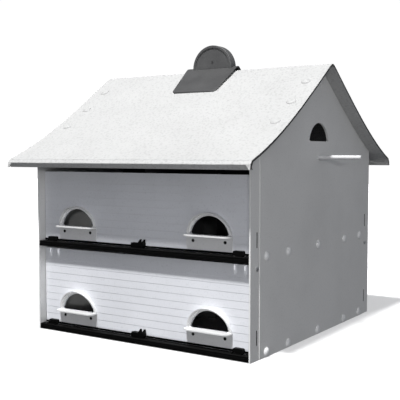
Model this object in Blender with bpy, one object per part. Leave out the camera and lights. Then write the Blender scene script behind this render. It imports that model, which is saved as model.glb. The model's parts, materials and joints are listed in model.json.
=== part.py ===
"""Two-storey, eight-room martin house: body, roof, ridge gear and four lift-up front and rear doors.

Frame: X runs along the doors, -Y is the front, +Z is up, and the origin is the middle of the footprint.
All sizes are in metres.
"""
import math

import bmesh
import bpy
from mathutils import Matrix, Vector

# ---------------------------------------------------------------- overall sizes
BODY_WIDTH = 0.480           # outside of one gable wall to outside of the other, along X
BODY_DEPTH = 0.515           # front edge to rear edge of a gable wall, along Y
FLOOR_PITCH = 0.1634         # from one floor to the next
UPPER_DOOR_DROP = 0.0140     # how much shorter the upper doors are, under the eaves
FIT = 0.0003                 # gap between pieces that touch
RUNNING_FIT = 0.0006         # gap beside a piece that swings
CHAMFER = 0.0010             # small chamfers on rails, lugs and rod ends
SINK = 0.0010                # how far a rivet or a fold's root runs into the sheet it grows from
PAST = 0.0200                # how far a cutter runs past what it cuts
FAR = 1.0000                 # past every side of the house

# ---------------------------------------------------------------- sheet and moulding thicknesses
WALL = 0.0038
FLOOR_SHEET = 0.0025
DOOR_SHEET = 0.0025
DIVIDER_SHEET = 0.0020
CEILING_LIP = 0.0040         # flange turned up round the ceiling
ROOF_RISE = 0.0042           # thickness of the roof sheet, measured straight up

# ---------------------------------------------------------------- roof
SLOPE_ABOVE_CEILING = 0.0263 # roof's upper surface over a gable wall's upright edge, from the ceiling
RIDGE_HALF = 0.0094          # half of the rounded ridge's width, up to where the two slopes begin
ROOF_PITCH = 0.70            # rise over run beside the ridge
EAVE_FLARE = 0.0317          # how far the concave slope lifts above a straight one at the eave
EAVE_OVERHANG = 0.0449       # level reach of a slope past the gable wall's edge
FASCIA_OUT = 0.0062          # the fascia leans out by this much
FASCIA_DROP = 0.0072         # white upper part of the fascia
RETURN_DROP = 0.0080         # lower part, folded back under the fascia
RETURN_IN = 0.0055
GABLE_OVERHANG = 0.0266      # reach of the roof past a gable wall, along X
CORNER_TAB = 0.0085          # width, at its top, of the pointed tab at each end of the fascia
TAB_POINT = 0.0020           # width of that tab at its foot
ROOF_RIVETS = (0.055, 0.1135, 0.172)   # distances of the roof rivets from the ridge
ROOF_RIVET_INSET = 0.0285    # from the roof's gable edge
CAP_RADIUS = 0.0094          # domed caps over the roof rivets
CAP_RISE = 0.0034
SLOPE_STEPS = 12

# ---------------------------------------------------------------- gable walls
CORNER_STRIP = 0.0300        # width of the thinner strip down each upright edge
STRIP_STEP = 0.0010          # how far that strip lies behind the wall's outer face
SNAP_SLOT_HEIGHT = 0.0260
SNAP_SLOT_WIDTH = 0.0030
SNAP_SLOT_LIFT = 0.0140      # from the rail's top to the slot's lower end
VENT_ABOVE_CEILING = 0.0408  # to the vent's sill
VENT_WIDTH = 0.0860
VENT_HEIGHT = 0.0345
SCREEN_THICK = 0.0012
SCREEN_LAP = 0.0040          # the vent screen's margin round the vent
PERCH_ABOVE_CEILING = 0.0104
PERCH_RADIUS = 0.0040
PERCH_REACH = 0.0840
SHOULDER_LENGTH = 0.0100
PERCH_SHOULDER = 0.0020      # the shoulder inside the wall is this much wider than the rod
APEX_RIVET_DROP = 0.0275     # below the ridge
RIVET_RADIUS = 0.0084
RIVET_RISE = 0.0040
RIVET_LIFT = 0.0088          # rivet rows above the bottom of each floor
RIVET_ROW = (0.0, 0.124, 0.204)   # distances of the floor rivets from the middle of the wall

# ---------------------------------------------------------------- rails and floors
RAIL_BASE = 0.0010
RAIL_HEIGHT = 0.0105
RAIL_DEPTH = 0.0150
RAIL_WALL = 0.0025
RAIL_GROOVE = 0.0007         # depth of the groove along a rail's face
GROOVE_DROP = 0.0036         # groove's middle under the rail's top
GROOVE_HALF = 0.0006         # half of the groove's height at its mouth
RAIL_SLOT = 0.0040           # width of the slots through a rail, in pairs beside each end lug
EDGE_SETBACK = 0.0002        # rail face behind the gable wall's front edge

# ---------------------------------------------------------------- doors
DOOR_RECESS = 0.0165         # door face behind the gable wall's front edge
DOOR_SIDE_GAP = 0.0012
DOOR_TOP_GAP = 0.0042        # swing clearance under the rail over a lower door
COURSE_PITCH = 0.0135        # height of one lapped course on the door
COURSE_STEP = 0.0003
FLANGE_FOOT = 0.0020         # foot of the folded ends over the trim
FLANGE_DEPTH = 0.0125        # door's folded ends, from its face back into the house
PIVOT_BACK = 0.0050          # hinge axis behind the door's face
PIVOT_DOWN = 0.0062          # hinge axis under the door's top edge
PIVOT_RADIUS = 0.0020
PIVOT_HEAD_RADIUS = 0.0040
PIVOT_HEAD = 0.0018
PIVOT_REACH = 0.0060         # from the wall's inner face into the house
BLIND_DEPTH = 0.0024         # depth of the upper pins' blind holes in the wall
TRIM_WALL = 0.0012
TRIM_HEIGHT = 0.0034
LUG_OFFSET = 0.2104          # end lugs, rail slots and door ribs, from the middle of the door
LUG_TOP = 0.0190
LUG_BASE = 0.0222
LUG_HEIGHT = 0.0078
LUG_DEPTH = 0.0080
PULL_WIDTH = 0.0270
PULL_HEIGHT = 0.0085
PULL_DEPTH = 0.0095
PRONG_HEIGHT = 0.0145
PRONG_THICK = 0.0030
PRONG_SPACING = 0.0085
RIB_SPACING = 0.0198
RIB_THICK = 0.0032
RIB_TOP = 0.0040             # top of a finger rib above the hinge axis
RIB_LENGTH = 0.0180
RIB_DEPTH = 0.0022

# ---------------------------------------------------------------- entrances
ENTRY_OFFSET = 0.1495        # middle of an entrance from the middle of the door
ENTRY_SILL = 0.0310          # sill above the rail's top
ENTRY_WIDTH = 0.0800
ENTRY_HEIGHT = 0.0330
ENTRY_CORNER = 0.0040
ENTRY_STEPS = 16
HOOD_MARGIN = 0.0040         # flat band between the hole and the hood
HOOD_WALL = 0.0018
HOOD_REACH = 0.0120          # how far the hood stands out at its crown
HOOD_FOOT = 0.0030           # and at the sill
TRAY_WIDTH = 0.0935
TRAY_REACH = 0.0185
TRAY_THICK = 0.0022
TRAY_CORNER = 0.0120
PLATE_HEIGHT = 0.0260
PLATE_THICK = 0.0013
SCREW_OFFSET = 0.0325
SCREW_DROP = 0.0108          # screw below the sill
SCREW_RADIUS = 0.0014
SCREW_HEAD_RADIUS = 0.0029
SCREW_HEAD = 0.0015
SCREW_TAIL = 0.0015

# ---------------------------------------------------------------- pole sleeve and dividers
SLEEVE_RADIUS = 0.0270
SLEEVE_WALL = 0.0020
COLLAR_RADIUS = 0.0480
COLLAR_THICK = 0.0030
SLEEVE_PROUD = 0.0080        # reach of the sleeve above the ceiling
DIVIDER_BACK = 0.0040        # gap from a door's folded ends back to the divider
DUCT_HALF = 0.0310           # inner half-width of the square duct round the sleeve

# ---------------------------------------------------------------- ridge gear
SADDLE_OFFSET = 0.0030       # the saddle sits this far to the right of the middle
SADDLE_TOP_HALF = 0.0605
SADDLE_FOOT_HALF = 0.0520
SADDLE_REACH = 0.0730        # level reach of each flap from the ridge
SADDLE_LIFT = 0.0056         # top of the saddle above the ridge
SADDLE_RISE = 0.0028
SADDLE_CORNER = 0.0060
DRUM_RADIUS = 0.0458
DRUM_HALF = 0.0096
DRUM_RIM = 0.0060
DRUM_RECESS = 0.0016
DRUM_EDGE = 0.0008           # chamfer round the drum
DRUM_SINK = 0.0020           # drum's centre line under the saddle's top
DRUM_OFFSET = 0.0060
BOLT_RADIUS = 0.0012
BOLT_HEAD_RADIUS = 0.0022
BOLT_HEAD = 0.0012
BOLT_RISE = 0.0130           # bolt above the drum's centre line

ROUND = 12                   # sides of a small round piece
LARGE_ROUND = 32

# ---------------------------------------------------------------- derived places
INNER_X = BODY_WIDTH / 2 - WALL
EDGE_Y = BODY_DEPTH / 2
RAIL_FRONT = EDGE_Y - EDGE_SETBACK
RAIL_BACK = RAIL_FRONT - RAIL_DEPTH
RAIL_TOP = RAIL_BASE + RAIL_HEIGHT
FLOOR_Y = RAIL_BACK - FIT
FLOOR_X = INNER_X - FIT
DOOR_Y = EDGE_Y - DOOR_RECESS
PIVOT_Y = DOOR_Y - PIVOT_BACK
CEILING_Z = 2 * FLOOR_PITCH
EDGE_RUN = BODY_DEPTH / 2 - RIDGE_HALF
FLARE_AT_EDGE = EAVE_FLARE * (EDGE_RUN / (EDGE_RUN + EAVE_OVERHANG)) ** 3
RIDGE_HEIGHT = CEILING_Z + SLOPE_ABOVE_CEILING + ROOF_PITCH * EDGE_RUN - FLARE_AT_EDGE
VENT_BASE = CEILING_Z + VENT_ABOVE_CEILING
PERCH_HEIGHT = CEILING_Z + PERCH_ABOVE_CEILING
APEX_RIVET_HEIGHT = RIDGE_HEIGHT - APEX_RIVET_DROP
EAVE_Y = EDGE_Y + EAVE_OVERHANG
ROOF_X = BODY_WIDTH / 2 + GABLE_OVERHANG
LEVELS = ("lower", "upper")
SIDES = (("front", 0.0), ("rear", math.pi))
ENDS = (("left", -1), ("right", 1))


def door_height(level):
    """Height of a door from the bottom of its trim to its top edge."""
    lower = FLOOR_PITCH - RAIL_TOP - RUNNING_FIT + RAIL_BASE - DOOR_TOP_GAP
    return lower if level == "lower" else lower - UPPER_DOOR_DROP


def storey_base(level):
    return RAIL_TOP + (FLOOR_PITCH if level == "upper" else 0.0)


def pivot_height(level):
    return storey_base(level) + RUNNING_FIT + door_height(level) - PIVOT_DOWN


def roof_top(y):
    """Height of the roof's upper surface at a distance from the ridge line."""
    run = abs(y) - RIDGE_HALF
    if run < 0:
        return RIDGE_HEIGHT + ROOF_PITCH * (RIDGE_HALF ** 2 - y * y) / (2 * RIDGE_HALF)
    return RIDGE_HEIGHT - ROOF_PITCH * run + EAVE_FLARE * (run / (EAVE_Y - RIDGE_HALF)) ** 3


# ---------------------------------------------------------------- modelling helpers
def start_empty():
    for old in list(bpy.data.objects):
        bpy.data.objects.remove(old, do_unlink=True)


def make_material(name, colour, roughness, metallic=0.0):
    material = bpy.data.materials.new(name)
    material.use_nodes = True
    shader = material.node_tree.nodes["Principled BSDF"]
    shader.inputs["Base Color"].default_value = (*colour, 1.0)
    shader.inputs["Roughness"].default_value = roughness
    shader.inputs["Metallic"].default_value = metallic
    material.diffuse_color = (*colour, 1.0)
    return material


def mesh_object(name, mesh):
    thing = bpy.data.objects.new(name, mesh)
    bpy.context.scene.collection.objects.link(thing)
    return thing


def prism(name, outline, axis, low, high):
    """A closed solid: a flat outline swept along X, Y or Z from low to high.

    The outline's points are (y, z) for X, (x, z) for Y and (x, y) for Z.
    """
    place = {
        "X": lambda u, v, w: (w, u, v),
        "Y": lambda u, v, w: (u, w, v),
        "Z": lambda u, v, w: (u, v, w),
    }[axis]
    build = bmesh.new()
    base = [build.verts.new(place(u, v, low)) for u, v in outline]
    face = build.faces.new(base)
    swept = bmesh.ops.extrude_face_region(build, geom=[face])
    moved = [item for item in swept["geom"] if isinstance(item, bmesh.types.BMVert)]
    bmesh.ops.translate(build, verts=moved, vec=Vector(place(0.0, 0.0, high - low)))
    bmesh.ops.recalc_face_normals(build, faces=build.faces)
    mesh = bpy.data.meshes.new(name)
    build.to_mesh(mesh)
    build.free()
    return mesh_object(name, mesh)


def block(name, x, y, z):
    """A box between two values on each axis."""
    return prism(name, [(x[0], y[0]), (x[1], y[0]), (x[1], y[1]), (x[0], y[1])], "Z", z[0], z[1])


def turned(name, profile, axis, centre, steps=ROUND):
    """A solid of revolution. The profile's points are (radius, distance along the axis)."""
    build = bmesh.new()
    points = [build.verts.new((radius, 0.0, along)) for radius, along in profile]
    closed = profile[0][0] > 0.0 and profile[-1][0] > 0.0
    edges = [build.edges.new(pair) for pair in zip(points, points[1:])]
    if closed:
        edges.append(build.edges.new((points[-1], points[0])))
    bmesh.ops.spin(build, geom=points + edges, cent=(0, 0, 0), axis=(0, 0, 1),
                   angle=2 * math.pi, steps=steps, use_duplicate=False)
    bmesh.ops.remove_doubles(build, verts=build.verts, dist=1e-6)
    bmesh.ops.recalc_face_normals(build, faces=build.faces)
    turn = {"X": Matrix.Rotation(math.pi / 2, 4, "Y"), "Y": Matrix.Rotation(math.pi / 2, 4, "X"),
            "Z": Matrix.Identity(4)}[axis]
    bmesh.ops.transform(build, matrix=Matrix.Translation(centre) @ turn, verts=build.verts)
    mesh = bpy.data.meshes.new(name)
    build.to_mesh(mesh)
    build.free()
    mesh.shade_smooth()
    mesh.set_sharp_from_angle(angle=math.radians(35))
    return mesh_object(name, mesh)


def rod(name, radius, axis, centre, half_length, steps=ROUND):
    profile = [(0.0, -half_length), (radius, -half_length), (radius, half_length), (0.0, half_length)]
    return turned(name, profile, axis, centre, steps)


def combine(target, tools, operation):
    """Unite the tools with the target, or cut them out of it, and drop the tools."""
    for tool in tools:
        step = target.modifiers.new(operation.lower(), "BOOLEAN")
        step.operation = operation
        step.solver = "EXACT"
        step.object = tool
    view = bpy.context.evaluated_depsgraph_get()
    result = bpy.data.meshes.new_from_object(target.evaluated_get(view))
    target.modifiers.clear()
    result.name = target.name
    target.data = result
    for tool in tools:
        bpy.data.objects.remove(tool, do_unlink=True)
    return target


def unite(target, *tools):
    return combine(target, tools, "UNION")


def cut(target, *tools):
    return combine(target, tools, "DIFFERENCE")


def finish(thing, material):
    thing.data.materials.clear()
    thing.data.materials.append(material)
    return thing


def arch(width, height, corner, grow=0.0, steps=ENTRY_STEPS):
    """A half-moon: a flat sill with rounded corners under a round arc, widened by grow."""
    half = width / 2
    radius = (half ** 2 + height ** 2) / (2 * height)
    centre = height - radius
    outer = radius + grow
    toe = corner * 0.6
    start = math.asin(max(-1.0, (toe - centre) / outer))
    points = []
    for index in range(steps + 1):
        angle = start + (math.pi - 2 * start) * index / steps
        points.append((outer * math.cos(angle), centre + outer * math.sin(angle)))
    foot = points[0][0] - corner
    points += [(-foot, -grow), (foot, -grow)]
    return points


def moved(points, x, z):
    return [(x + u, z + v) for u, v in points]


def dome(name, axis, centre, outward, radius=RIVET_RADIUS, rise=RIVET_RISE):
    """A low domed rivet cap that sinks a little into the sheet it holds."""
    profile = [(0.0, -SINK), (radius * 0.98, -SINK), (radius, FIT), (radius * 0.86, rise * 0.52),
               (radius * 0.50, rise * 0.90), (0.0, rise)]
    if outward < 0:
        profile = [(across, -along) for across, along in profile]
    return turned(name, profile, axis, centre, steps=14)


# ---------------------------------------------------------------- roof and walls
def slope_points(drop, reach, inset=0.0):
    """Points down the +Y slope at a distance under the roof's upper surface."""
    points = []
    for index in range(SLOPE_STEPS + 1):
        y = RIDGE_HALF + (reach - inset - RIDGE_HALF) * index / SLOPE_STEPS
        points.append((y, roof_top(y) - drop))
    return points


def mirrored(points):
    return [(-y, z) for y, z in reversed(points)]


def ridge_points(drop):
    return [(y, roof_top(y) - drop) for y in (-RIDGE_HALF / 2, 0.0, RIDGE_HALF / 2)]


def make_roof(material):
    """One flared sheet with a folded fascia and corner tabs at each eave, and rivet caps near its ends."""
    top = slope_points(0.0, EAVE_Y)
    under = slope_points(ROOF_RISE, EAVE_Y, ROOF_RISE * 0.4)
    outline = mirrored(top) + ridge_points(0.0) + top
    outline += [(y, z) for y, z in reversed(mirrored(under) + ridge_points(ROOF_RISE) + under)]
    roof = prism("roof", outline, "X", -ROOF_X, ROOF_X)
    eave_z = roof_top(EAVE_Y)
    lip_y = EAVE_Y + FASCIA_OUT * 0.75
    lip_z = eave_z - FASCIA_DROP
    foot_z = lip_z - RETURN_DROP
    thin = ROOF_RISE * 0.55
    folds = []
    for side in (-1, 1):
        root = (EAVE_Y - EDGE_SETBACK, eave_z - EDGE_SETBACK)
        inner_root = (EAVE_Y - thin * 1.7, eave_z - ROOF_RISE * 0.8)
        fold = [root, (lip_y, lip_z + CHAMFER), (lip_y, lip_z), (lip_y - RETURN_IN, foot_z),
                (lip_y - RETURN_IN - thin, foot_z + thin / 6), (lip_y - thin * 1.3, lip_z), inner_root]
        tab = [root, (lip_y, lip_z + CHAMFER), (EAVE_Y + FASCIA_OUT, foot_z),
               (EAVE_Y + FASCIA_OUT - thin, foot_z), inner_root]
        folds.append(prism("fold", [(side * y, z) for y, z in fold], "X", RUNNING_FIT - ROOF_X,
                           ROOF_X - RUNNING_FIT))
        for end in (-1, 1):
            low, high = sorted((end * ROOF_X, end * (ROOF_X - CORNER_TAB)))
            piece = prism("tab", [(side * y, z) for y, z in tab], "X", low, high)
            deep = ROOF_X - CORNER_TAB - PAST
            slant = [(end * (ROOF_X - TAB_POINT), foot_z), (end * (ROOF_X - TAB_POINT), foot_z - PAST),
                     (end * deep, foot_z - PAST), (end * deep, lip_z), (end * (ROOF_X - CORNER_TAB), lip_z)]
            folds.append(cut(piece, prism("slant", slant, "Y", *sorted((side * (EAVE_Y - PAST), side * FAR)))))
    unite(roof, *folds)
    rivets = []
    for side in (-1, 1):
        for end in (-1, 1):
            for y in ROOF_RIVETS:
                slope = math.atan((roof_top(y + SINK) - roof_top(y - SINK)) / (2 * SINK))
                rivet = dome("rivet", "Z", (0, 0, 0), 1, CAP_RADIUS, CAP_RISE)
                rivet.data.transform(Matrix.Rotation(side * slope, 4, "X"))
                rivet.data.transform(Matrix.Translation((end * (ROOF_X - ROOF_RIVET_INSET), side * y,
                                                         roof_top(y))))
                rivets.append(rivet)
    unite(roof, *rivets)
    return finish(roof, material)


def make_gable(end_name, end, material):
    """A gable wall with thinner corner strips, rivets, vent, perch hole, snap slots and hinge holes."""
    top = slope_points(ROOF_RISE + FIT, EDGE_Y)
    outline = [(-EDGE_Y, 0.0)] + mirrored(top) + ridge_points(ROOF_RISE + FIT) + top + [(EDGE_Y, 0.0)]
    low, high = sorted((end * INNER_X, end * BODY_WIDTH / 2))
    wall = prism(f"gable_wall_{end_name}", outline, "X", low, high)
    face = end * BODY_WIDTH / 2
    strips = []
    for side in (-1, 1):
        across = sorted((side * (EDGE_Y - CORNER_STRIP), side * (EDGE_Y + PAST)))
        through = sorted((face - end * STRIP_STEP, face + end * PAST))
        strips.append(block("strip", through, across, (-PAST, FAR)))
    cut(wall, *strips)
    extras = []
    for level in LEVELS:
        height = storey_base(level) - RAIL_TOP + RIVET_LIFT
        for y in sorted({side * place for place in RIVET_ROW for side in (-1, 1)}):
            extras.append(dome("rivet", "X", (face, y, height), end))
    extras.append(dome("rivet", "X", (face, 0.0, APEX_RIVET_HEIGHT), end))
    unite(wall, *extras)
    cuts = [prism("vent", moved(arch(VENT_WIDTH, VENT_HEIGHT, ENTRY_CORNER), 0.0, VENT_BASE), "X",
                  face - PAST, face + PAST),
            rod("perch_hole", PERCH_RADIUS + FIT, "X", (face, 0.0, PERCH_HEIGHT), PAST)]
    for side in (-1, 1):
        for level in LEVELS:
            low = storey_base(level) + SNAP_SLOT_LIFT
            slot_y = side * PIVOT_Y
            cuts.append(block("slot", (face - PAST, face + PAST),
                              (slot_y - SNAP_SLOT_WIDTH / 2, slot_y + SNAP_SLOT_WIDTH / 2),
                              (low, low + SNAP_SLOT_HEIGHT)))
        cuts.append(rod("pivot_hole", PIVOT_RADIUS + FIT, "X", (face, side * PIVOT_Y, pivot_height("lower")),
                        PAST))
        blind = end * INNER_X
        cuts.append(rod("blind_hole", PIVOT_RADIUS + FIT, "X", (blind, side * PIVOT_Y, pivot_height("upper")),
                        BLIND_DEPTH))
    cut(wall, *cuts)
    return finish(wall, material)


def make_vent_screen(end_name, end, material):
    """A thin screen behind the half-moon vent, with a rim that laps the wall's inner face."""
    back = end * (INNER_X - FIT)
    low, high = sorted((back, back - end * SCREEN_THICK))
    outline = moved(arch(VENT_WIDTH, VENT_HEIGHT, ENTRY_CORNER, grow=SCREEN_LAP), 0.0, VENT_BASE)
    screen = prism(f"vent_screen_{end_name}", outline, "X", low, high)
    return finish(screen, material)


def make_perch(end_name, end, material):
    """A round perch rod through the gable wall, with a shoulder against its inner face."""
    inner = INNER_X - FIT
    outer = BODY_WIDTH / 2 + PERCH_REACH
    shoulder = PERCH_RADIUS + PERCH_SHOULDER
    profile = [(0.0, inner - SHOULDER_LENGTH), (shoulder, inner - SHOULDER_LENGTH), (shoulder, inner),
               (PERCH_RADIUS, inner), (PERCH_RADIUS, outer - CHAMFER), (PERCH_RADIUS - CHAMFER, outer),
               (0.0, outer)]
    if end < 0:
        profile = [(radius, -along) for radius, along in profile]
    return finish(turned(f"perch_rod_{end_name}", profile, "X", (0, 0, PERCH_HEIGHT), steps=16), material)


# ---------------------------------------------------------------- floors, rails and dividers
def make_pan(name, base, height, open_up, material):
    """A sheet with a flange turned down (or up) along all four sides and a round hole for the sleeve."""
    pan = block(name, (-FLOOR_X, FLOOR_X), (-FLOOR_Y, FLOOR_Y), (base, base + height))
    inside = (base - PAST, base + height - FLOOR_SHEET)
    if open_up:
        inside = (base + FLOOR_SHEET, base + height + PAST)
    lip = FLOOR_SHEET
    hollow = block("hollow", (lip - FLOOR_X, FLOOR_X - lip), (lip - FLOOR_Y, FLOOR_Y - lip), inside)
    hole = rod("hole", SLEEVE_RADIUS + FIT, "Z", (0, 0, base), PAST, steps=LARGE_ROUND)
    return finish(cut(pan, hollow, hole), material)


def make_rail(level, side_name, angle, material):
    """A channel rail along the front of a floor, its back open towards the floor's flange."""
    base = RAIL_BASE + (FLOOR_PITCH if level == "upper" else 0.0)
    top = base + RAIL_HEIGHT
    front = -RAIL_FRONT
    back = -RAIL_BACK
    groove = top - GROOVE_DROP
    outline = [(front, base + CHAMFER), (front + CHAMFER, base), (back, base), (back, base + RAIL_WALL),
               (front + RAIL_WALL, base + RAIL_WALL), (front + RAIL_WALL, top - RAIL_WALL),
               (back, top - RAIL_WALL), (back, top), (front + CHAMFER, top), (front, top - CHAMFER),
               (front, groove + GROOVE_HALF), (front + RAIL_GROOVE, groove + GROOVE_HALF / 2),
               (front + RAIL_GROOVE, groove - GROOVE_HALF / 2), (front, groove - GROOVE_HALF)]
    rail = prism(f"rail_{side_name}_{level}", outline, "X", -FLOOR_X, FLOOR_X)
    slots = []
    for _, end in ENDS:
        for shift in (-RIB_SPACING / 2, RIB_SPACING / 2):
            middle = end * LUG_OFFSET + shift
            slots.append(block("slot", (middle - RAIL_SLOT / 2, middle + RAIL_SLOT / 2),
                               (front + RAIL_WALL, back + PAST), (base - PAST, top + PAST)))
    cut(rail, *slots)
    rail.rotation_euler.z = angle
    return finish(rail, material)


def make_divider(level, material):
    """Two crossing partitions that meet in a square duct round the pole sleeve."""
    low = storey_base(level) + FIT
    above = FLOOR_PITCH + RAIL_TOP - FLOOR_SHEET if level == "lower" else CEILING_Z
    high = above - FIT
    reach_x = FLOOR_X - FLOOR_SHEET - FIT
    reach_y = DOOR_Y - FLANGE_DEPTH - DIVIDER_BACK
    half = DIVIDER_SHEET / 2
    outer = DUCT_HALF + DIVIDER_SHEET
    divider = block(f"room_divider_{level}", (-outer, outer), (-outer, outer), (low, high))
    fins = [block("fin", (-reach_x, reach_x), (-half, half), (low, high)),
            block("fin", (-half, half), (-reach_y, reach_y), (low, high))]
    unite(divider, *fins)
    duct = block("duct", (-DUCT_HALF, DUCT_HALF), (-DUCT_HALF, DUCT_HALF), (low - PAST, high + PAST))
    return finish(cut(divider, duct), material)


def make_sleeve(material):
    """A round tube for the pole, from a collar under the lower floor to just over the ceiling."""
    inner = SLEEVE_RADIUS - SLEEVE_WALL
    collar_top = RAIL_TOP - FLOOR_SHEET - FIT
    collar_low = collar_top - COLLAR_THICK
    top = CEILING_Z + FLOOR_SHEET + SLEEVE_PROUD
    profile = [(inner, collar_low), (COLLAR_RADIUS, collar_low), (COLLAR_RADIUS, collar_top),
               (SLEEVE_RADIUS, collar_top), (SLEEVE_RADIUS, top), (inner, top)]
    return finish(turned("pole_sleeve", profile, "Z", (0, 0, 0), steps=LARGE_ROUND), material)


# ---------------------------------------------------------------- doors, in the frame of their hinge axis
def door_outline(level):
    """Door section, from the hinge axis: (distance behind it, height over it)."""
    face = -PIVOT_BACK
    back = face + DOOR_SHEET
    top = PIVOT_DOWN
    bottom = PIVOT_DOWN - door_height(level) + TRIM_WALL + FIT
    points = [(back, top), (back, bottom), (face, bottom)]
    edge = bottom + TRIM_HEIGHT - TRIM_WALL - FIT + CHAMFER
    points.append((face, edge))
    while edge + COURSE_PITCH * 1.2 < top:
        points.append((face - COURSE_STEP, edge + CHAMFER))
        edge += COURSE_PITCH
        points.append((face, edge))
    points.append((face, top))
    return points


def sill_height(level):
    """Height of the entrance sills over the hinge axis."""
    return storey_base(level) + ENTRY_SILL - pivot_height(level)


def make_door_panel(level):
    """A lapped sheet with folded ends, finger ribs on a lower door, and holes for what it carries."""
    panel = prism(f"door_panel_{level}", door_outline(level), "X", DOOR_SIDE_GAP - INNER_X,
                  INNER_X - DOOR_SIDE_GAP)
    bottom = PIVOT_DOWN - door_height(level) + TRIM_WALL + FIT
    extras = []
    for _, end in ENDS:
        outer = end * (INNER_X - DOOR_SIDE_GAP)
        low, high = sorted((outer, outer - end * DOOR_SHEET))
        flange_low = bottom + TRIM_HEIGHT + FLANGE_FOOT
        depth = (DOOR_SHEET / 5 - PIVOT_BACK, FLANGE_DEPTH - PIVOT_BACK)
        extras.append(block("flange", (low, high), depth, (flange_low, PIVOT_DOWN - DOOR_SHEET / 25)))
        if level == "lower":
            for shift in (-RIB_SPACING / 2, RIB_SPACING / 2):
                middle = end * LUG_OFFSET + shift
                inside = DOOR_SHEET / 3 - PIVOT_BACK
                profile = [(inside, RIB_TOP), (-PIVOT_BACK - RIB_DEPTH, RIB_TOP),
                           (-PIVOT_BACK - RIB_DEPTH, RIB_TOP - RIB_LENGTH * 0.4),
                           (inside, RIB_TOP - RIB_LENGTH)]
                extras.append(prism("rib", profile, "X", middle - RIB_THICK / 2, middle + RIB_THICK / 2))
    unite(panel, *extras)
    cuts = []
    sill = sill_height(level)
    for _, end in ENDS:
        outline = moved(arch(ENTRY_WIDTH, ENTRY_HEIGHT, ENTRY_CORNER), end * ENTRY_OFFSET, sill)
        cuts.append(prism("entry", outline, "Y", -PAST, PAST))
        cuts.append(rod("pivot_hole", PIVOT_RADIUS + FIT, "X", (end * INNER_X, 0, 0), PAST))
        for shift in (-SCREW_OFFSET, SCREW_OFFSET):
            cuts.append(rod("screw_hole", SCREW_RADIUS + FIT, "Y",
                            (end * ENTRY_OFFSET + shift, 0, sill - SCREW_DROP), PAST, steps=8))
    return cut(panel, *cuts)


def make_trim(level):
    """Black edge trim under the door, with its end lugs and its middle pull."""
    base = PIVOT_DOWN - door_height(level)
    face = -PIVOT_BACK
    back = face + DOOR_SHEET
    reach = INNER_X - DOOR_SIDE_GAP
    outline = [(face - FIT - TRIM_WALL, base), (back + FIT + TRIM_WALL, base),
               (back + FIT + TRIM_WALL, base + TRIM_HEIGHT), (back + FIT, base + TRIM_HEIGHT),
               (back + FIT, base + TRIM_WALL), (face - FIT, base + TRIM_WALL),
               (face - FIT, base + TRIM_HEIGHT), (face - FIT - TRIM_WALL, base + TRIM_HEIGHT)]
    trim = prism(f"door_trim_{level}", outline, "X", -reach, reach)
    contact = face - COURSE_STEP - FIT
    extras = []
    for _, end in ENDS:
        middle = end * LUG_OFFSET
        side = [(LUG_BASE / 2, base), (LUG_BASE / 2 - CHAMFER, base + LUG_HEIGHT * 0.35),
                (LUG_TOP / 2, base + LUG_HEIGHT * 0.9), (LUG_TOP / 2 - CHAMFER, base + LUG_HEIGHT)]
        lug = moved(side + mirrored(side), middle, 0.0)
        extras.append(prism("lug", lug, "Y", contact - LUG_DEPTH, contact))
    extras.append(block("pull", (-PULL_WIDTH / 2, PULL_WIDTH / 2), (contact - PULL_DEPTH, contact),
                        (base, base + PULL_HEIGHT)))
    unite(trim, *extras)
    prongs = []
    for index in range(2):
        x = PULL_WIDTH / 2 - PRONG_THICK - index * PRONG_SPACING
        front = contact - PULL_DEPTH + CHAMFER / 2
        back = contact - CHAMFER / 2
        profile = [(front, base + CHAMFER), (back, base + CHAMFER), (back, base + PRONG_HEIGHT),
                   (contact - PRONG_THICK, base + PRONG_HEIGHT), (front, base + PULL_HEIGHT + CHAMFER)]
        prongs.append(prism("prong", profile, "X", x, x + PRONG_THICK - CHAMFER / 2))
    return unite(trim, *prongs)


def make_entrance(level):
    """Half-moon opening in a thin plate, with a slanting hood over it and a porch tray for its sill."""
    face = -PIVOT_BACK - COURSE_STEP - FIT
    band = HOOD_MARGIN + HOOD_WALL
    entrance = prism(f"entrance_{level}", arch(ENTRY_WIDTH, ENTRY_HEIGHT, ENTRY_CORNER, grow=band), "Y",
                     face - HOOD_REACH, face)
    crown = ENTRY_HEIGHT + band
    slant = [(face - HOOD_FOOT, -PAST), (face - HOOD_FOOT, 0.0), (face - HOOD_REACH, crown),
             (face - HOOD_REACH, crown + PAST), (face - HOOD_REACH - PAST, crown + PAST),
             (face - HOOD_REACH - PAST, -PAST)]
    inside = prism("inside", arch(ENTRY_WIDTH, ENTRY_HEIGHT, ENTRY_CORNER, grow=HOOD_MARGIN), "Y",
                   face - HOOD_REACH - PAST, face - PLATE_THICK)
    cut(entrance, prism("slant", slant, "X", -FAR, FAR), inside)
    half = TRAY_WIDTH / 2
    tray = [(half, face)]
    for index in range(5):
        angle = -math.pi / 2 * index / 4
        tray.append((half - TRAY_CORNER + TRAY_CORNER * math.cos(angle),
                     face - TRAY_REACH + TRAY_CORNER + TRAY_CORNER * math.sin(angle)))
    tray += [(-x, y) for x, y in reversed(tray)]
    tray_solid = prism("tray", tray, "Z", -TRAY_THICK, 0.0)
    plate = block("plate", (-half, half), (face - PLATE_THICK, face), (-PLATE_HEIGHT, -TRAY_THICK / 5))
    below = block("below", (-FAR, FAR), (-FAR, FAR), (-PAST, -TRAY_THICK / 3))
    cut(entrance, below)
    unite(entrance, tray_solid, plate)
    mouth = prism("mouth", arch(ENTRY_WIDTH, ENTRY_HEIGHT, ENTRY_CORNER), "Y", -TRAY_REACH - PAST, PAST)
    holes = [rod("screw_hole", SCREW_RADIUS + FIT, "Y", (shift, 0, -SCREW_DROP), PAST, steps=8)
             for shift in (-SCREW_OFFSET, SCREW_OFFSET)]
    return cut(entrance, mouth, *holes)


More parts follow.
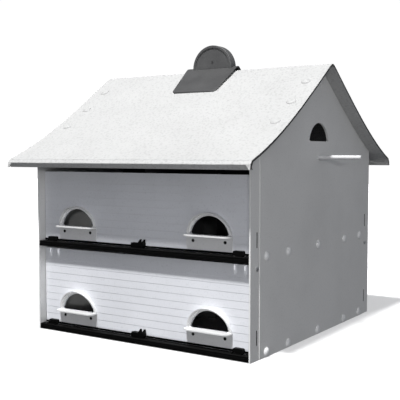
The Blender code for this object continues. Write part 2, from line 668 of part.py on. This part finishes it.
def make_screw():
    """Pan-head screw along Y, its head towards -Y, with its origin under the head."""
    tail = PLATE_THICK + FIT + COURSE_STEP + DOOR_SHEET + SCREW_TAIL
    profile = [(0.0, SCREW_HEAD), (SCREW_HEAD_RADIUS * 0.6, SCREW_HEAD), (SCREW_HEAD_RADIUS, SCREW_HEAD * 0.45),
               (SCREW_HEAD_RADIUS, 0.0), (SCREW_RADIUS, 0.0), (SCREW_RADIUS, -tail), (0.0, -tail)]
    return turned("entrance_screw", profile, "Y", (0, 0, 0), steps=10)


def make_pivot(level):
    """Hinge pin along X for the right-hand wall: a screw from outside, or a blind pin."""
    inner = INNER_X - PIVOT_REACH
    if level == "lower":
        outer = BODY_WIDTH / 2 - STRIP_STEP + FIT
        profile = [(0.0, inner), (PIVOT_RADIUS, inner), (PIVOT_RADIUS, outer), (PIVOT_HEAD_RADIUS, outer),
                   (PIVOT_HEAD_RADIUS, outer + PIVOT_HEAD * 0.5), (PIVOT_HEAD_RADIUS * 0.6, outer + PIVOT_HEAD),
                   (0.0, outer + PIVOT_HEAD)]
    else:
        outer = INNER_X + BLIND_DEPTH - FIT
        profile = [(0.0, inner), (PIVOT_RADIUS, inner), (PIVOT_RADIUS, outer), (0.0, outer)]
    return turned(f"hinge_pin_{level}", profile, "X", (0, 0, 0))


def copy_of(pattern, name, material):
    thing = mesh_object(name, pattern.data)
    return finish(thing, material)


def make_doors(look):
    """Front and rear doors of both storeys, each with what it carries and its two hinge pins."""
    for level in LEVELS:
        panel = make_door_panel(level)
        trim = make_trim(level)
        entrance = make_entrance(level)
        screw = make_screw()
        pin = make_pivot(level)
        sill = sill_height(level)
        head_seat = -PIVOT_BACK - COURSE_STEP - FIT - PLATE_THICK - FIT
        for side_name, angle in SIDES:
            tag = f"{side_name}_{level}"
            hinge = bpy.data.objects.new(f"hinge_{tag}", None)
            bpy.context.scene.collection.objects.link(hinge)
            outward = -1 if side_name == "front" else 1
            hinge.location = (0, outward * PIVOT_Y, pivot_height(level))
            hinge.rotation_euler.z = angle
            copy_of(panel, f"door_panel_{tag}", look["door"]).parent = hinge
            copy_of(trim, f"door_trim_{tag}", look["black"]).parent = hinge
            for end_name, end in ENDS:
                moulding = copy_of(entrance, f"entrance_{tag}_{end_name}", look["moulding"])
                moulding.parent = hinge
                moulding.location = (end * ENTRY_OFFSET, 0, sill)
                pivot = copy_of(pin, f"hinge_pin_{tag}_{end_name}", look["metal"])
                pivot.location = (0, outward * PIVOT_Y, pivot_height(level))
                pivot.rotation_euler.z = angle + (math.pi if end < 0 else 0.0)
                for place, shift in (("a", -SCREW_OFFSET), ("b", SCREW_OFFSET)):
                    fixing = copy_of(screw, f"entrance_screw_{tag}_{end_name}_{place}", look["fixing"])
                    fixing.parent = hinge
                    fixing.location = (end * ENTRY_OFFSET + shift, head_seat, sill - SCREW_DROP)
        for pattern in (panel, trim, entrance, screw, pin):
            bpy.data.objects.remove(pattern, do_unlink=True)


# ---------------------------------------------------------------- ridge gear
def saddle_top(y):
    """Height of the saddle's upper surface: parallel to the roof, a step above it."""
    return roof_top(y) + SADDLE_LIFT * max(0.0, 1.0 - abs(y) / SADDLE_REACH) + SADDLE_RISE + FIT


def make_saddle(material):
    """A tent-shaped cap over the ridge, tapered towards its two feet."""
    stations = [-SADDLE_REACH, -SADDLE_REACH / 2, -RIDGE_HALF, -RIDGE_HALF / 2, 0.0, RIDGE_HALF / 2,
                RIDGE_HALF, SADDLE_REACH / 2, SADDLE_REACH]
    outline = [(y, saddle_top(y)) for y in stations]
    outline += [(y, saddle_top(y) - SADDLE_RISE) for y in reversed(stations)]
    saddle = prism("ridge_saddle", outline, "X", -SADDLE_TOP_HALF, SADDLE_TOP_HALF)
    corner = SADDLE_CORNER
    plan = [(-SADDLE_FOOT_HALF + corner, -SADDLE_REACH), (SADDLE_FOOT_HALF - corner, -SADDLE_REACH),
            (SADDLE_FOOT_HALF, corner * 0.7 - SADDLE_REACH), (SADDLE_TOP_HALF, 0.0),
            (SADDLE_FOOT_HALF, SADDLE_REACH - corner * 0.7), (SADDLE_FOOT_HALF - corner, SADDLE_REACH),
            (-SADDLE_FOOT_HALF + corner, SADDLE_REACH), (-SADDLE_FOOT_HALF, SADDLE_REACH - corner * 0.7),
            (-SADDLE_TOP_HALF, 0.0), (-SADDLE_FOOT_HALF, corner * 0.7 - SADDLE_REACH)]
    keep = prism("keep", plan, "Z", 0.0, FAR)
    combine(saddle, [keep], "INTERSECT")
    saddle.location.x = SADDLE_OFFSET
    return finish(saddle, material)


def make_drum(material):
    """A short half-drum upright astride the saddle, with a sunk face inside a rim on both sides."""
    centre = saddle_top(0.0) - DRUM_SINK
    profile = [(0.0, -DRUM_HALF + DRUM_RECESS), (DRUM_RADIUS - DRUM_RIM, -DRUM_HALF + DRUM_RECESS),
               (DRUM_RADIUS - DRUM_RIM * 0.8, -DRUM_HALF), (DRUM_RADIUS - DRUM_EDGE, -DRUM_HALF),
               (DRUM_RADIUS, -DRUM_HALF + DRUM_EDGE), (DRUM_RADIUS, DRUM_HALF - DRUM_EDGE),
               (DRUM_RADIUS - DRUM_EDGE, DRUM_HALF), (DRUM_RADIUS - DRUM_RIM * 0.8, DRUM_HALF),
               (DRUM_RADIUS - DRUM_RIM, DRUM_HALF - DRUM_RECESS), (0.0, DRUM_HALF - DRUM_RECESS)]
    drum = turned("ridge_drum", profile, "Y", (0, 0, centre), steps=48)
    wide = DRUM_HALF + PAST
    stations = [-wide, -RIDGE_HALF, -RIDGE_HALF / 2, 0.0, RIDGE_HALF / 2, RIDGE_HALF, wide]
    under = [(y, saddle_top(y) + FIT) for y in stations] + [(wide, 0.0), (-wide, 0.0)]
    below = prism("below", under, "X", -FAR, FAR)
    bore = rod("bore", BOLT_RADIUS + FIT, "Y", (0, 0, centre + BOLT_RISE), DRUM_HALF + PAST)
    cut(drum, below, bore)
    drum.location.x = DRUM_OFFSET
    return finish(drum, material)


def make_drum_bolt(material):
    """A cross bolt through the drum, headed on both sides."""
    face = DRUM_HALF - DRUM_RECESS + FIT
    head = BOLT_HEAD_RADIUS
    outer = face + BOLT_HEAD
    profile = [(0.0, -outer), (head, -outer), (head, -face), (BOLT_RADIUS, -face),
               (BOLT_RADIUS, face), (head, face), (head, outer), (0.0, outer)]
    centre = saddle_top(0.0) - DRUM_SINK + BOLT_RISE
    bolt = turned("drum_bolt", profile, "Y", (0, 0, centre))
    bolt.location.x = DRUM_OFFSET
    return finish(bolt, material)


# ---------------------------------------------------------------- assembly
def main():
    start_empty()
    look = {
        "roof": make_material("roof_white_embossed", (0.86, 0.86, 0.84), 0.55),
        "wall": make_material("wall_white", (0.80, 0.80, 0.80), 0.45),
        "door": make_material("door_white", (0.84, 0.84, 0.86), 0.45),
        "moulding": make_material("entrance_white", (0.88, 0.88, 0.88), 0.35),
        "black": make_material("rail_black", (0.012, 0.012, 0.013), 0.30),
        "grey": make_material("ridge_grey", (0.13, 0.13, 0.135), 0.50),
        "metal": make_material("pin_metal", (0.72, 0.72, 0.72), 0.30, 1.0),
        "fixing": make_material("screw_black", (0.015, 0.015, 0.015), 0.40, 0.6),
        "mesh": make_material("vent_mesh_black", (0.02, 0.02, 0.02), 0.60),
        "inside": make_material("divider_white", (0.75, 0.75, 0.75), 0.50),
    }
    make_roof(look["roof"])
    make_saddle(look["grey"])
    make_drum(look["grey"])
    make_drum_bolt(look["grey"])
    for end_name, end in ENDS:
        make_gable(end_name, end, look["wall"])
        make_vent_screen(end_name, end, look["mesh"])
        make_perch(end_name, end, look["moulding"])
    make_pan("floor_lower", 0.0, RAIL_TOP, False, look["inside"])
    make_pan("floor_upper", FLOOR_PITCH, RAIL_TOP, False, look["inside"])
    make_pan("ceiling", CEILING_Z, CEILING_LIP, True, look["inside"])
    make_sleeve(look["metal"])
    for level in LEVELS:
        make_divider(level, look["inside"])
        for side_name, angle in SIDES:
            make_rail(level, side_name, angle, look["black"])
    make_doors(look)


main()
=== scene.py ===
"""Looks, camera and light for the martin house."""

import json
import math

import bmesh
import bpy
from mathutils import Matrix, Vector

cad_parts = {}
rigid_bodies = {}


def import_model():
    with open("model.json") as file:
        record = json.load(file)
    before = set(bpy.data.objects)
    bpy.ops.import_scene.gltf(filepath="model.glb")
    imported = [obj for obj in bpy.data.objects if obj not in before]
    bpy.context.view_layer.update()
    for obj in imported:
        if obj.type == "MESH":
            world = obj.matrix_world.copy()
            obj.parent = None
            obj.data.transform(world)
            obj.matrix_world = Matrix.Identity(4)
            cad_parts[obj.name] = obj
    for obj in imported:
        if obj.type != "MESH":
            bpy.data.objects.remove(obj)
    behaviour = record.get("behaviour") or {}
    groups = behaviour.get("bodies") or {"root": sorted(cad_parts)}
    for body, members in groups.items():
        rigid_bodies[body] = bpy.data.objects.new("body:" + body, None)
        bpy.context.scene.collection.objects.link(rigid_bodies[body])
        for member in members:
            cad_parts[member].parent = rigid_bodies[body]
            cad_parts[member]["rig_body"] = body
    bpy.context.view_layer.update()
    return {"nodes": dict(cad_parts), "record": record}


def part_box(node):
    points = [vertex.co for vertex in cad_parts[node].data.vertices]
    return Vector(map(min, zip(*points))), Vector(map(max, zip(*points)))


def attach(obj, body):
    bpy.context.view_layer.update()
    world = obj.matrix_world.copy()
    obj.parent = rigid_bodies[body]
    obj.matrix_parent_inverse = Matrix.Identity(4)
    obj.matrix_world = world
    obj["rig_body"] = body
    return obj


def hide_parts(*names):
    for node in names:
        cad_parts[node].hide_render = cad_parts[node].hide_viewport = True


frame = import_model()
NODES = frame["nodes"]

ROOF_TONE = 0.53
SADDLE_TONE = 0.062
DRUM_TONE = 0.096
# The room dividers are near-black: painted shade deep inside the rooms.
DIVIDER_SHADE_TONE = 0.05
MICRON = 0.000001            # metres, for the height of fine relief

WELD = 0.00001               # corners nearer than this are one corner
FLAT_ANGLE = 0.8             # degrees; faces that turn less than this are one flat face
SMOOTH_ANGLE = 32.0          # degrees; edges that turn less than this are shaded smooth
ROOF_SMOOTH_ANGLE = 16.0
BEVEL_ANGLE = 50.0
CAP_STAND = 0.0033           # a rivet cap's faces lie further out than the wall's extent less this
SLOT_TALL = (0.024, 0.028)   # the side faces of a snap slot are this tall

WIRE = 0.00045
WIRE_PITCH = 0.0030
WIRE_LENGTH = 0.995          # share of the arch's width that a level wire spans
SHORTEST_WIRE = 0.10         # share of the arch's height
RIM_STEPS = 24

FLOOR_SIZE = 14.0
SURROUND_RADIUS = 24.0

CAMERA_AT = (0.8645, -1.356, 0.3442)
CAMERA_TURN = 33.38
CAMERA_DIP = 3.39
CAMERA_LENS = 70.27
SENSOR = 36.0
KEY_HEIGHT = math.radians(66)
NEAR_AT = (0.42, -0.80, 0.10)
NEAR_TOWARD = (0.20, -0.24, 0.26)


# ---------------------------------------------------------------- materials
class Look:
    """A procedural material: object-space texture, bump and a Principled shader."""

    def __init__(self, name, roughness, metallic=0.0):
        self.material = bpy.data.materials.new(name)
        self.material.use_nodes = True
        self.tree = self.material.node_tree
        self.shader = self.tree.nodes["Principled BSDF"]
        self.shader.inputs["Roughness"].default_value = roughness
        self.shader.inputs["Metallic"].default_value = metallic
        self.place = self.add("ShaderNodeTexCoord").outputs["Object"]
        self.normal = None

    def add(self, kind, **settings):
        node = self.tree.nodes.new(kind)
        for key, value in settings.items():
            setattr(node, key, value)
        return node

    def link(self, source, target):
        self.tree.links.new(source, target)

    def noise(self, scale, detail=4.0, roughness=0.5, stretch=(1, 1, 1)):
        mapping = self.add("ShaderNodeMapping")
        mapping.inputs["Scale"].default_value = stretch
        self.link(self.place, mapping.inputs["Vector"])
        node = self.add("ShaderNodeTexNoise")
        node.inputs["Scale"].default_value = scale
        node.inputs["Detail"].default_value = detail
        node.inputs["Roughness"].default_value = roughness
        self.link(mapping.outputs["Vector"], node.inputs["Vector"])
        return node.outputs["Fac"]

    def cells(self, scale):
        node = self.add("ShaderNodeTexVoronoi", feature="SMOOTH_F1")
        node.inputs["Scale"].default_value = scale
        self.link(self.place, node.inputs["Vector"])
        return node.outputs["Distance"]

    def ramp(self, source, low, high, start=0.3, end=0.7):
        node = self.add("ShaderNodeValToRGB")
        node.color_ramp.elements[0].position = start
        node.color_ramp.elements[1].position = end
        node.color_ramp.elements[0].color = (*low, 1)
        node.color_ramp.elements[1].color = (*high, 1)
        self.link(source, node.inputs["Fac"])
        return node.outputs["Color"]

    def multiply(self, first, second):
        node = self.add("ShaderNodeVectorMath", operation="MULTIPLY")
        self.link(first, node.inputs[0])
        self.link(second, node.inputs[1])
        return node.outputs["Vector"]

    def colour(self, source):
        self.link(source, self.shader.inputs["Base Color"])

    def spread(self, source, low, high):
        node = self.add("ShaderNodeMapRange")
        node.inputs["To Min"].default_value = low
        node.inputs["To Max"].default_value = high
        self.link(source, node.inputs["Value"])
        return node.outputs["Result"]

    def rough(self, source, low, high):
        self.link(self.spread(source, low, high), self.shader.inputs["Roughness"])

    def bump(self, source, height, strength=1.0):
        """Adds relief of a real height in metres, on top of what is there."""
        node = self.add("ShaderNodeBump")
        node.inputs["Strength"].default_value = strength
        node.inputs["Distance"].default_value = height
        self.link(source, node.inputs["Height"])
        if self.normal is not None:
            self.link(self.normal, node.inputs["Normal"])
        self.normal = node.outputs["Normal"]
        self.link(self.normal, self.shader.inputs["Normal"])


def grey(value):
    return (value, value, value)


def white_plastic(name, tone, tint, rough=(0.35, 0.55), grain=60 * MICRON):
    """Moulded white plastic with faint dust in patches."""
    look = Look(name, sum(rough) / 2)
    low = tuple(tone * 0.92 * t for t in tint)
    high = tuple(tone * t for t in tint)
    shade = look.ramp(look.noise(7.0, 5.0, 0.6), low, high, 0.30, 0.60)
    specks = look.ramp(look.noise(330.0, 2.0, 0.7), grey(0.90), grey(1.0), 0.30, 0.42)
    look.colour(look.multiply(shade, specks))
    look.rough(look.noise(40.0, 3.0), *rough)
    look.bump(look.noise(900.0, 2.0), grain)
    look.bump(look.noise(5.0, 1.0), 600 * MICRON, 0.5)
    return look.material


def roof_look():
    """Stucco-embossed sheet; its pits and its cut gable edges are painted darker as painted shade."""
    look = Look("roof_embossed", 0.6)
    cream = (ROOF_TONE, ROOF_TONE, ROOF_TONE * 0.985)
    dusty = tuple(0.94 * tone for tone in cream)
    broad = look.ramp(look.noise(12.0, 5.0, 0.6), dusty, cream, 0.30, 0.65)
    # The embossing's pits are darker in colour: painted shade in the pits.
    pit_shade = look.ramp(look.cells(210.0), grey(0.80), grey(1.0), 0.05, 0.42)
    body = look.multiply(broad, pit_shade)
    # Faces turned toward the gables are painted near-black: a painted shade line along the roof's gable
    # edges.
    facing = look.add("ShaderNodeNewGeometry").outputs["True Normal"]
    parts = look.add("ShaderNodeSeparateXYZ")
    look.link(facing, parts.inputs["Vector"])
    level = look.add("ShaderNodeMath", operation="ABSOLUTE")
    look.link(parts.outputs["X"], level.inputs[0])
    edge = look.ramp(level.outputs["Value"], grey(1.0), grey(0.10), 0.90, 0.96)
    look.colour(look.multiply(body, edge))
    look.bump(look.cells(300.0), 600 * MICRON, 0.8)
    look.bump(look.noise(520.0, 3.0), 300 * MICRON, 0.8)
    look.rough(look.noise(60.0), 0.5, 0.75)
    return look.material


def black_plastic():
    look = Look("black_plastic", 0.45)
    look.colour(look.ramp(look.noise(50.0, 4.0), grey(0.0010), grey(0.0025)))
    look.rough(look.noise(30.0, 4.0), 0.45, 0.65)
    look.shader.inputs["Specular IOR Level"].default_value = 0.08
    look.bump(look.noise(700.0, 2.0), 80 * MICRON)
    return look.material


def grey_plastic(name, tone):
    look = Look(name, 0.5)
    look.colour(look.ramp(look.noise(30.0, 4.0), grey(tone * 0.8), grey(tone * 1.08)))
    look.rough(look.noise(40.0, 4.0), 0.42, 0.6)
    look.bump(look.noise(800.0, 2.0), 150 * MICRON)
    return look.material


def metal(name, tone, rough):
    look = Look(name, rough, 1.0)
    look.colour(look.ramp(look.noise(60.0, 4.0), grey(tone * 0.85), grey(tone)))
    look.rough(look.noise(200.0, 3.0, stretch=(1, 1, 8)), rough * 0.8, rough * 1.3)
    look.bump(look.noise(1200.0, 2.0, stretch=(1, 1, 6)), 30 * MICRON)
    return look.material


def mesh_look():
    look = Look("vent_mesh", 0.6)
    look.colour(look.ramp(look.noise(80.0, 3.0), grey(0.004), grey(0.012)))
    look.rough(look.noise(150.0), 0.5, 0.7)
    look.bump(look.noise(1500.0, 2.0), 40 * MICRON)
    return look.material


LOOKS = {
    "roof_white": roof_look(),
    "wall_white": white_plastic("wall_plastic", 0.80, (1.0, 1.0, 0.985)),
    "door_white": white_plastic("door_plastic", 0.79, (0.97, 0.985, 1.03)),
    "moulding_white": white_plastic("moulding_plastic", 0.80, (1.0, 1.0, 1.0), (0.25, 0.4)),
    "inside_white": white_plastic("inside_plastic", 0.62, (0.99, 0.99, 1.02), (0.4, 0.6)),
    "divider_dark": white_plastic("divider_painted_shade", DIVIDER_SHADE_TONE, (0.97, 1.0, 1.03), (0.5, 0.7)),
    "rail_black": black_plastic(),
    "ridge_grey": grey_plastic("saddle_plastic", SADDLE_TONE),
    "drum_grey": grey_plastic("drum_plastic", DRUM_TONE),
    "pin_metal": metal("pin_metal_bright", 0.75, 0.3),
    "sleeve_metal": metal("sleeve_metal_plain", 0.70, 0.35),
    "screw_black": metal("screw_black_coat", 0.03, 0.35),
    "vent_mesh": mesh_look(),
}

slots = {entry["node"]: entry["material_slot"] for entry in frame["record"]["subparts"]}
for name, node in NODES.items():
    node.data.materials.clear()
    finish = slots[name]
    # Room dividers take the near-black finish: painted shade inside the rooms.
    if name.startswith("room_divider"):
        finish = "divider_dark"
    if name == "ridge_drum":
        finish = "drum_grey"
    node.data.materials.append(LOOKS[finish])


# ---------------------------------------------------------------- softened pieces
def softened(name, piece, edge, bend=SMOOTH_ANGLE, caps=None):
    """Stands a copy of a CAD node in its place, with its hard edges rounded and its curves smooth.

    caps is the finish of the rivet caps that stand proud of a gable wall, a brighter white that paints a
    highlight on them; the side faces of the wall's slots are painted near-black inside as painted shade.
    """
    mesh = NODES[name].data.copy()
    low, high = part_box(name)
    work = bmesh.new()
    work.from_mesh(mesh)
    bmesh.ops.remove_doubles(work, verts=work.verts, dist=WELD)
    bmesh.ops.dissolve_limit(work, angle_limit=math.radians(FLAT_ANGLE), verts=work.verts, edges=work.edges)
    outer = max(abs(low.x), abs(high.x)) - CAP_STAND
    for face in work.faces:
        face.smooth = True
        heights = [corner.co.z for corner in face.verts]
        tall = max(heights) - min(heights)
        if caps and abs(face.calc_center_median().x) > outer:
            face.material_index = 1
        # The side faces of the snap slots take the near-black vent finish: painted shade inside the slots.
        elif caps and abs(face.normal.y) > 0.9 and SLOT_TALL[0] < tall < SLOT_TALL[1]:
            face.material_index = 2
    for side in work.edges:
        side.smooth = side.calc_face_angle(0.0) < math.radians(bend)
    work.to_mesh(mesh)
    work.free()
    if caps:
        mesh.materials.append(caps)
        # Slot side faces: painted shade, with the near-black vent finish.
        mesh.materials.append(LOOKS["vent_mesh"])
    copy = bpy.data.objects.new(piece, mesh)
    bpy.context.scene.collection.objects.link(copy)
    if edge:
        bevel = copy.modifiers.new("edge", "BEVEL")
        bevel.width = edge
        bevel.segments = 2
        bevel.limit_method = "ANGLE"
        bevel.angle_limit = math.radians(BEVEL_ANGLE)
        bevel.use_clamp_overlap = True
        bevel.harden_normals = True
    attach(copy, NODES[name]["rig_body"])
    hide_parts(name)


# The rivet caps are a brighter white than the wall: a painted highlight on them.
RIVET_HIGHLIGHT_LOOK = white_plastic("rivet_painted_highlight", 0.92, (1.0, 1.0, 1.0), (0.25, 0.35))
SOFT_EDGES = {"roof": 0.0, "ridge_saddle": 0.0008, "ridge_drum": 0.0009, "gable_wall": 0.0, "rail": 0.0005,
              "perch_rod": 0.0, "entrance": 0.0, "drum_bolt": 0.0, "pole_sleeve": 0.0, "hinge_pin": 0.0}
for name in sorted(NODES):
    for start, edge in SOFT_EDGES.items():
        if name.startswith(start) and not name.startswith("entrance_screw"):
            bend = ROOF_SMOOTH_ANGLE if name == "roof" else SMOOTH_ANGLE
            caps = RIVET_HIGHLIGHT_LOOK if start == "gable_wall" else None
            softened(name, f"{name}_shaped", edge, bend, caps)


# ---------------------------------------------------------------- woven vent screens
def woven_screen(node):
    """Fine crossed wires behind a vent hole, in place of the plain sheet."""
    low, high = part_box(node)
    middle = (low.x + high.x) / 2
    radius_y = (high.y - low.y) / 2
    rise = high.z - low.z
    work = bmesh.new()

    def bar(y_low, y_high, z_low, z_high):
        made = bmesh.ops.create_cube(work, size=1.0)["verts"]
        bmesh.ops.scale(work, vec=(WIRE, y_high - y_low, z_high - z_low), verts=made)
        bmesh.ops.translate(work, vec=(middle, (y_low + y_high) / 2, (z_low + z_high) / 2), verts=made)

    count = int(radius_y / WIRE_PITCH)
    for step in range(-count, count + 1):
        y = step * WIRE_PITCH
        share = min(1.0, abs(y) / radius_y)
        top = low.z + rise * max(SHORTEST_WIRE, math.sqrt(1.0 - share ** 2))
        bar(y - WIRE / 2, y + WIRE / 2, low.z, top)
    for step in range(int(rise / WIRE_PITCH)):
        z = low.z + WIRE + step * WIRE_PITCH
        share = (z - low.z) / rise
        reach = radius_y * math.sqrt(1.0 - share ** 2) * WIRE_LENGTH
        bar(-reach, reach, z - WIRE / 2, z + WIRE / 2)
    angles = [math.pi * step / RIM_STEPS for step in range(RIM_STEPS + 1)]
    rim = [(radius_y * math.cos(angle), low.z + rise * math.sin(angle)) for angle in angles]
    for first, second in zip(rim, rim[1:]):
        left, right = sorted((first[0], second[0]))
        foot, top = sorted((first[1], second[1]))
        bar(max(left, low.y), min(right, high.y), max(foot - WIRE, low.z), min(top, high.z))
    mesh = bpy.data.meshes.new(f"{node}_wires")
    work.to_mesh(mesh)
    work.free()
    screen = bpy.data.objects.new(f"{node}_woven", mesh)
    bpy.context.scene.collection.objects.link(screen)
    mesh.materials.append(LOOKS["vent_mesh"])
    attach(screen, NODES[node]["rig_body"])
    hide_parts(node)


for side in ("left", "right"):
    woven_screen(f"vent_screen_{side}")

# ---------------------------------------------------------------- floor
bpy.ops.mesh.primitive_plane_add(size=FLOOR_SIZE, location=(0, 0, 0))
floor = bpy.context.object
floor.name = "floor"
floor.visible_diffuse = False
floor.visible_glossy = False
ground = Look("floor_pale", 0.9)
distance = ground.add("ShaderNodeVectorMath", operation="LENGTH")
ground.link(ground.place, distance.inputs[0])
# The floor is darker near the house and paler further out: painted shade under and around the house.
ground.colour(ground.ramp(distance.outputs["Value"], grey(0.55), grey(0.85), 0.45, 1.0))
ground.rough(ground.noise(20.0), 0.85, 0.95)
ground.bump(ground.noise(90.0), 200 * MICRON)
ground.shader.inputs["Emission Color"].default_value = (1.0, 1.0, 1.0, 1.0)
ground.shader.inputs["Emission Strength"].default_value = 0.45
floor.data.materials.append(ground.material)

# A white surround that the camera sees and the light ignores.
bpy.ops.mesh.primitive_uv_sphere_add(radius=SURROUND_RADIUS, segments=48, ring_count=24)
surround = bpy.context.object
surround.name = "surround"
surround.visible_diffuse = False
surround.visible_glossy = False
surround.visible_transmission = False
surround.visible_shadow = False
paper = bpy.data.materials.new("paper_white")
paper.use_nodes = True
paper_shader = paper.node_tree.nodes["Principled BSDF"]
paper_shader.inputs["Base Color"].default_value = (0.0, 0.0, 0.0, 1.0)
paper_shader.inputs["Emission Color"].default_value = (1.0, 1.0, 1.0, 1.0)
paper_shader.inputs["Emission Strength"].default_value = 1.0
surround.data.materials.append(paper)

# ---------------------------------------------------------------- camera
camera_data = bpy.data.cameras.new("camera")
camera = bpy.data.objects.new("camera", camera_data)
bpy.context.scene.collection.objects.link(camera)
camera.location = CAMERA_AT
camera.rotation_euler = (math.radians(90.0 - CAMERA_DIP), 0.0, math.radians(CAMERA_TURN))
camera_data.sensor_width = SENSOR
camera_data.lens = CAMERA_LENS
camera_data.clip_end = 60.0
bpy.context.scene.camera = camera


# ---------------------------------------------------------------- light
def sun(name, toward, strength, size):
    data = bpy.data.lights.new(name, "SUN")
    data.energy = strength
    data.angle = math.radians(size)
    thing = bpy.data.objects.new(name, data)
    bpy.context.scene.collection.objects.link(thing)
    thing.rotation_euler = Vector(toward).to_track_quat("-Z", "Y").to_euler()


sun("key", (0.0, math.cos(KEY_HEIGHT), -math.sin(KEY_HEIGHT)), 4.5, 4.0)
sun("fill", (-0.436, 0.897, -0.09), 0.14, 5.0)
sun("bounce", (-0.60, 0.79, -0.115), 0.30, 2.0)
sun("side", (-1.0, 0.22, -0.10), 0.24, 20.0)

near_data = bpy.data.lights.new("near", "AREA")
near_data.energy = 0.55
near_data.size = 0.30
near = bpy.data.objects.new("near", near_data)
bpy.context.scene.collection.objects.link(near)
near.location = NEAR_AT
near.visible_camera = False
near.rotation_euler = (Vector(NEAR_TOWARD) - near.location).to_track_quat("-Z", "Y").to_euler()

world = bpy.data.worlds.new("studio")
bpy.context.scene.world = world
world.use_nodes = True
tree = world.node_tree
background = tree.nodes["Background"]
coords = tree.nodes.new("ShaderNodeTexCoord")
height = tree.nodes.new("ShaderNodeVectorMath")
height.operation = "DOT_PRODUCT"
height.inputs[1].default_value = (0.0, 0.0, 1.0)
tree.links.new(coords.outputs["Generated"], height.inputs[0])
sky = tree.nodes.new("ShaderNodeValToRGB")
horizon, zenith = sky.color_ramp.elements
horizon.position = 0.0
horizon.color = (0.072, 0.075, 0.084, 1.0)
zenith.position = 0.06
zenith.color = (0.240, 0.248, 0.270, 1.0)
tree.links.new(height.outputs["Value"], sky.inputs["Fac"])
tree.links.new(sky.outputs["Color"], background.inputs["Color"])
background.inputs["Strength"].default_value = 1.0

scene = bpy.context.scene
scene.view_settings.view_transform = "Standard"
scene.view_settings.look = "None"
